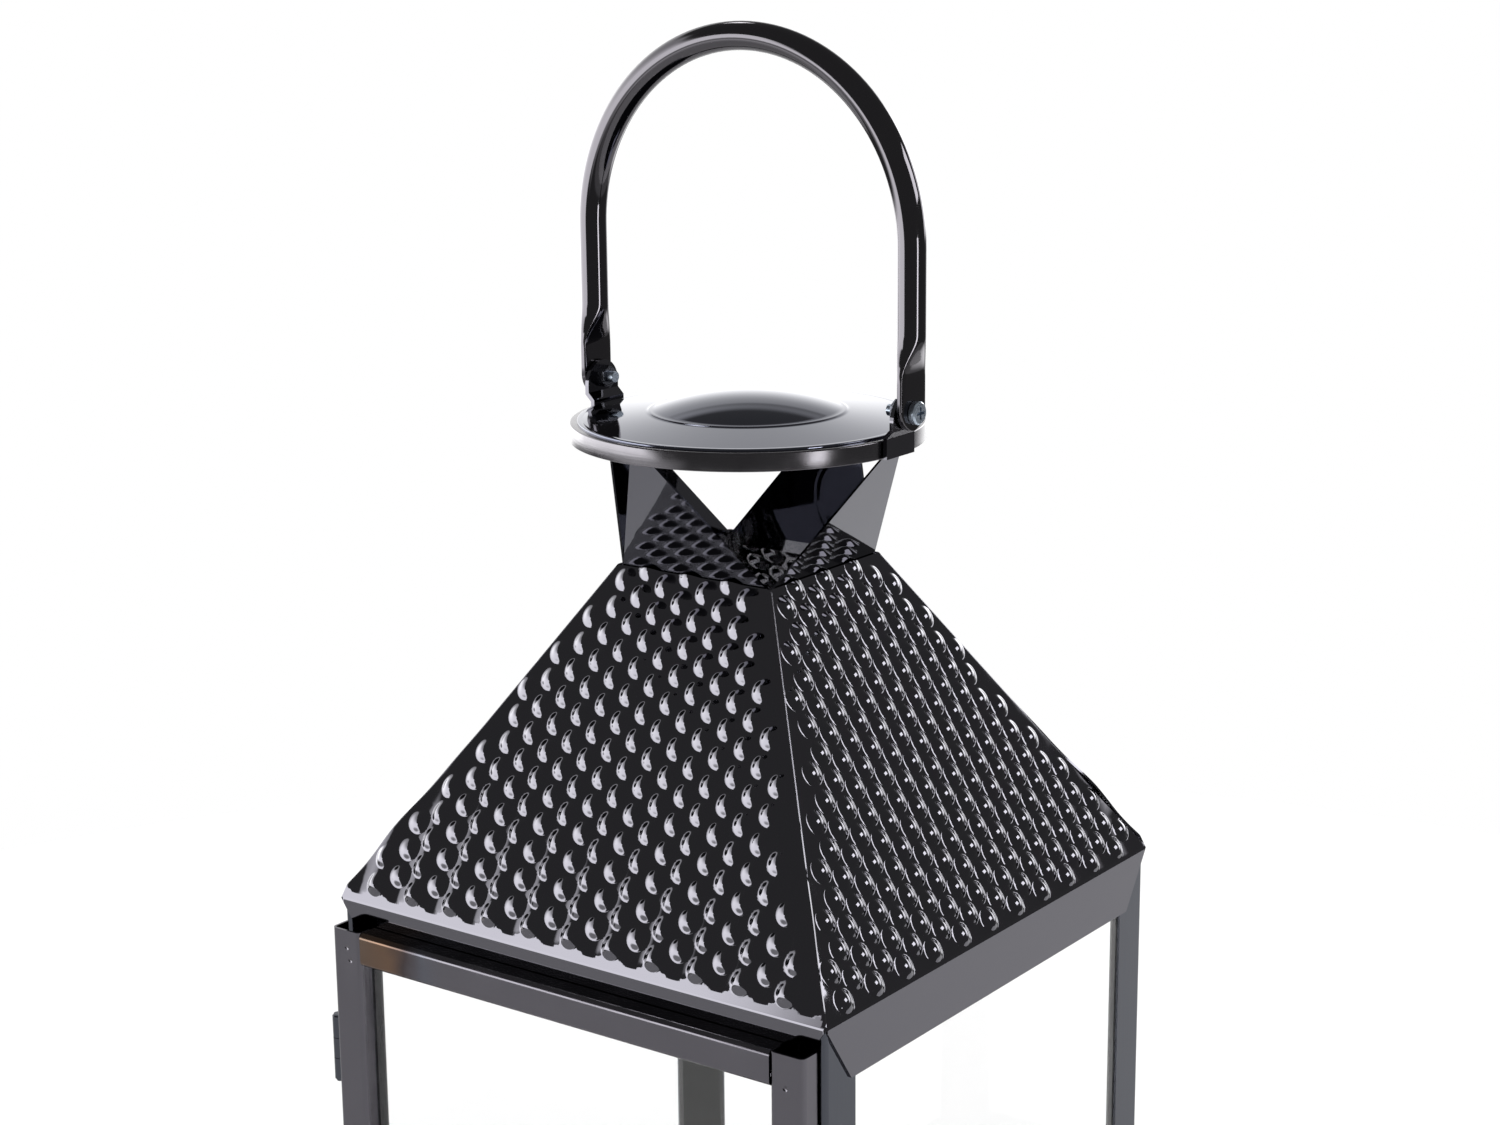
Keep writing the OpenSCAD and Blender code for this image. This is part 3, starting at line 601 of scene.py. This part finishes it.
# One leg from its foot up, as height, half thickness, half width and power of each section: the
# round end of the flat, the flat itself, the stretch where it grows round, and the plain tube
leg = []
half_w, half_t = FLAT_W / 2, FLAT_T / 2
for drop in (7.45, 7.2, 6.7, 5.9, 4.8, 3.4, 1.7, 0):
    leg.append((FLAT_FOOT + half_w - drop, half_t, math.sqrt(half_w ** 2 - drop ** 2), BLOCK))
leg += [(z, half_t, half_w, BLOCK) for z in (436, 439, FLAT_END - 1)]
for k in range(13):
    share = smooth(k / 12, 0, 1)
    leg.append((FLAT_END + (TUBE_FOOT - FLAT_END) * k / 12, half_t + (TUBE_R - half_t) * share,
                half_w + (TUBE_R - half_w) * share, BLOCK - (BLOCK - OVAL) * share ** 0.4))
leg += [(z, TUBE_R, TUBE_R, OVAL) for z in (462, 468, 476, 484)]
rings = [section((ARCH_R, 0, z), (1, 0, 0), thick, wide, power) for z, thick, wide, power in leg]
for k in range(ARCH_STEPS + 1):
    a = math.pi * k / ARCH_STEPS
    outward = Vector((math.cos(a), 0, math.sin(a)))
    rings.append(section(Vector((0, 0, ARCH_Z)) + outward * ARCH_R, outward, TUBE_R, TUBE_R, OVAL))
rings += [section((-ARCH_R, 0, z), (-1, 0, 0), thick, wide, power)
          for z, thick, wide, power in reversed(leg)]
arch = mesh_piece("handle_tube", *loft(rings), handle_nickel, 40)
drill = [section((x, 0, BOLT_Z), (0, 0, 1), BORE_R, BORE_R, OVAL, 32) for x in (-75, 75)]
cut_away(arch, mesh_piece("drill", *loft(drill), handle_nickel))
for polygon in arch.data.polygons:
    polygon.use_smooth = True
arch.data.set_sharp_from_angle(angle=math.radians(40))
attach(arch, "handle")
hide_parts("handle")

# Studio
# A small white table, three softboxes, and round them white walls and panels that only the metal
# mirrors: a screen on the left, two panels at the front left, a wall and a window at the back.
# Matt paint: white, without any shine, so that it only carries the shadow. Its grain is
# drawn 2.5 mm wide, which is coarser than the real one
table_paint, tree, output, place = start_material("matt_white_paint")
grain = put(tree, "TexNoise", {}, {"Vector": place, "Scale": 400, "Detail": 2})
relief = put(tree, "Bump", {}, {"Strength": 0.1, "Distance": 0.0002, "Height": grain.outputs[0]})
table_shader = put(tree, "BsdfPrincipled", {}, {
    "Base Color": linear("#f9f9f9"), "Roughness": 0.9, "Specular IOR Level": 0.0,
    "Normal": relief.outputs[0]})
tree.links.new(table_shader.outputs[0], output.inputs["Surface"])
TABLE_R, TABLE_TOP, TABLE_FOOT, HOLE_R = 900, -0.05, -8, 0.5
table_outline = [(HOLE_R, TABLE_FOOT), (TABLE_R, TABLE_FOOT), (TABLE_R, TABLE_TOP), (HOLE_R, TABLE_TOP)]
table = mesh_piece("floor", *lathe(table_outline, 96), table_paint)
LAMPS_AIM = Vector((0, 0, 0.38))


def softbox(name, direction, distance, width, height, radiance):
    """A rectangular lamp that faces the cap from a direction. Sizes in metres."""
    data = bpy.data.lights.new(name, "AREA")
    data.shape = "RECTANGLE"
    data.size, data.size_y = width, height
    data.energy = radiance * math.pi * width * height
    lamp = bpy.data.objects.new(name, data)
    lamp.location = LAMPS_AIM + Vector(direction).normalized() * distance
    lamp.rotation_euler = Vector(direction).to_track_quat("Z", "Y").to_euler()
    lamp.visible_camera = False
    bpy.context.scene.collection.objects.link(lamp)


softbox("high_left", (-0.55, 0.36, 0.75), 1.7, 0.22, 0.22, 6)
softbox("right_box", (0.78, 0.44, 0.43), 1.7, 0.8, 0.6, 6)
softbox("right_strip", (0.985, -0.174, -0.1), 1.6, 0.26, 0.44, 8)

world = bpy.data.worlds.new("studio")
bpy.context.scene.world = world
world.use_nodes = True
room = world.node_tree
room.nodes.clear()
ray = put(room, "LightPath").outputs
around = put(room, "TexCoord").outputs["Generated"]

# Each wall is a level that is joined to the room, and its edges. An edge is a direction, the two
# cosines to it between which a ray crosses the edge, and the share of the level on either side
UP, TO_BACK, TO_LEFT, TO_FRONT_LEFT = (0, 0, 1), (-0.5, 0.866, 0), (-0.95, 0.31, 0), (-0.574, -0.819, 0)
back_wall = ("ADD", 1.0, (
    (TO_BACK, 0.7, 0.95, 0, 1), (TO_LEFT, -0.12, 0.12, 0, 1),
    (UP, -0.26, -0.22, 0, 1), (UP, 0.44, 0.48, 1, 0), (UP, 0.05, 0.5, 1.7, 0.45)))
# The screen is brightest low down, and ends at the front along a slanting edge
screen = ("ADD", 1.0, (
    (TO_BACK, 0.7, 0.95, 1, 0), ((-0.985, -0.174, 0), 0.0, 0.15, 0, 1),
    ((-0.839, 0.545, -0.9), -0.05, 0.05, 0, 1),
    (UP, -0.24, -0.16, 0, 1), (UP, 0.51, 0.59, 1, 0), (UP, 0.0, 0.5, 4.4, 1.2)))
# The panel shows in the margin of the front roof, and the dim one below it in the door
panel = ("MAXIMUM", 4.2, (
    (TO_FRONT_LEFT, 0.80, 0.93, 0, 1), ((-0.839, 0.545, 0), -0.05, 0.03, 0, 1),
    (UP, -0.02, 0.02, 0, 1), (UP, 0.15, 0.19, 1, 0)))
low_panel = ("ADD", 0.8, (
    (TO_FRONT_LEFT, 0.80, 0.93, 0, 1), (UP, -0.44, -0.40, 0, 1), (UP, -0.23, -0.19, 1, 0)))
# The ground is the floor round the table, brighter on the left, and the neck mirrors the far floor
ground = ("ADD", 1.0, ((UP, -0.372, -0.34, 1, 0), (TO_LEFT, -0.12, 0.12, 0.25, 1)))
far_floor = ("ADD", 1.8, (
    ((0.06, 0.81, -0.58), math.cos(math.radians(24)), math.cos(math.radians(12)), 0, 1),))
window = ("ADD", 3.4, (
    ((0.12, 0.993, 0), 0.90, 0.95, 0, 1), (UP, -0.10, -0.04, 0, 1), (UP, 0.27, 0.33, 1, 0)))
dim_rest = ("ADD", 0.125, ())
room_level = 0.0
for operation, level, edges in (
    back_wall, screen, panel, low_panel, ground, far_floor, window, dim_rest,
):
    for direction, start, end, before, after in edges:
        cosine = put(room, "VectorMath", {"operation": "DOT_PRODUCT"}, {0: around, 1: direction})
        share = put(room, "MapRange", {"interpolation_type": "SMOOTHSTEP"}, {
            "Value": cosine.outputs["Value"], "From Min": start, "From Max": end,
            "To Min": before, "To Max": after})
        level = put(room, "Math", {"operation": "MULTIPLY"}, {
            0: level, 1: share.outputs[0]}).outputs[0]
    room_level = put(room, "Math", {"operation": operation}, {0: room_level, 1: level}).outputs[0]

# Diffuse light comes evenly from all round. The table as the metal mirrors it has only part of it
soft_light = put(room, "Background", {}, {"Color": linear("#ffffff"), "Strength": 1.02})
mirrored_room = put(room, "Background", {}, {"Color": linear("#ffffff"), "Strength": room_level})
white = put(room, "Background", {}, {"Color": linear("#ffffff"), "Strength": 1.0})
once = put(room, "Math", {"operation": "MINIMUM"}, {0: ray["Glossy Depth"], 1: 1.0})
table_share = put(room, "Math", {"operation": "MULTIPLY_ADD"}, {
    0: ray["Is Diffuse Ray"], 1: -0.6, 2: 1.0})
mirrored = put(room, "Math", {"operation": "MULTIPLY"}, {
    0: once.outputs[0], 1: table_share.outputs[0]}).outputs[0]
lit_room = put(room, "MixShader", {}, {"Fac": mirrored})
room.links.new(soft_light.outputs[0], lit_room.inputs[1])
room.links.new(mirrored_room.outputs[0], lit_room.inputs[2])
# The camera sees white, and so does a ray that has only gone through glass
straight = put(room, "Math", {"operation": "SUBTRACT"}, {0: 1.0, 1: mirrored})
through_glass = put(room, "Math", {"operation": "MULTIPLY"}, {
    0: ray["Is Transmission Ray"], 1: straight.outputs[0]}).outputs[0]
shown = put(room, "Math", {"operation": "MAXIMUM"}, {0: ray["Is Camera Ray"], 1: through_glass})
backdrop = put(room, "MixShader", {}, {"Fac": shown.outputs[0]})
room.links.new(lit_room.outputs[0], backdrop.inputs[1])
room.links.new(white.outputs[0], backdrop.inputs[2])
sky = put(room, "OutputWorld")
room.links.new(backdrop.outputs[0], sky.inputs["Surface"])
bpy.context.scene.view_settings.view_transform = "Standard"
